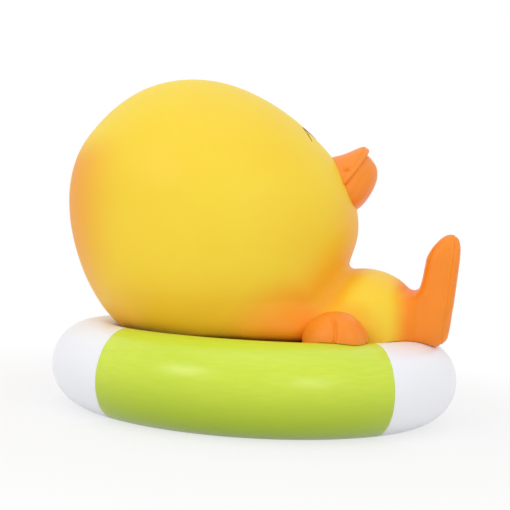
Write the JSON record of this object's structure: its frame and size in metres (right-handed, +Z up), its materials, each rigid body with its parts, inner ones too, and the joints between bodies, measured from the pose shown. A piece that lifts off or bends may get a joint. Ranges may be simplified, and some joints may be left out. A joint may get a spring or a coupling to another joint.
{
  "type": "floating chlorine dispenser",
  "caption": "Rubber duck lying on a swim ring; a hidden tablet canister with a flow ring and screw cap opens under the ring.",
  "frame": {"origin": "under the middle of the swim ring, on the surface it rests on", "axes": "+Z up, +X towards the duck's feet, -Y towards its left hand"},
  "size_m": [0.22, 0.22, 0.1795],
  "materials": {
    "yellow_vinyl": "satin soft vinyl, airbrushed orange low down",
    "orange_vinyl": "satin soft vinyl",
    "white_plastic": "smooth gloss",
    "green_plastic": "smooth gloss",
    "inner_plastic": "moulded matte",
    "control_plastic": "moulded matte",
    "seal_rubber": "moulded matte",
    "screw_steel": "stainless",
    "ballast_iron": "as cast"
  },
  "bodies": {
    "float": {"duck_shell": "yellow_vinyl", "upper_bill": "orange_vinyl", "lower_bill": "orange_vinyl", "left_foot": "orange_vinyl", "right_foot": "orange_vinyl", "left_hand": "orange_vinyl", "right_hand": "orange_vinyl", "front_float": "white_plastic", "rear_float": "white_plastic", "left_float": "green_plastic", "right_float": "green_plastic", "ring_dowels": "inner_plastic", "float_plugs": "seal_rubber", "ballast_weight": "ballast_iron", "carrier_plate": "inner_plastic", "float_screws": "screw_steel", "clamp_screws": "screw_steel", "canister_gasket": "seal_rubber", "duck_gasket": "seal_rubber", "canister": "inner_plastic"},
    "flow_ring": {"flow_ring": "control_plastic"},
    "tray": {"tablet_tray": "control_plastic"},
    "cap": {"cap_shell": "inner_plastic", "cap_seal": "seal_rubber", "tray_pin": "control_plastic"}
  },
  "joints": [
    {"name": "flow_turn", "type": "hinge", "parent": "float", "child": "flow_ring", "pos_m": [0, 0, 0.0257], "axis": [0, 0, 1], "range_deg": [0, 22.5]},
    {"name": "tray_slide", "type": "slide", "parent": "float", "child": "tray", "axis": [0, 0, -1], "range_m": [0, 0.0401]},
    {"name": "cap_turn", "type": "hinge", "parent": "tray", "child": "cap", "pos_m": [0, 0, 0.012], "axis": [0, 0, -1], "range_deg": [0, 1440]}
  ],
  "couplings": [
    {"joint": "tray_slide", "follows": "cap_turn", "m_per_rad": 0.0015915}
  ]
}
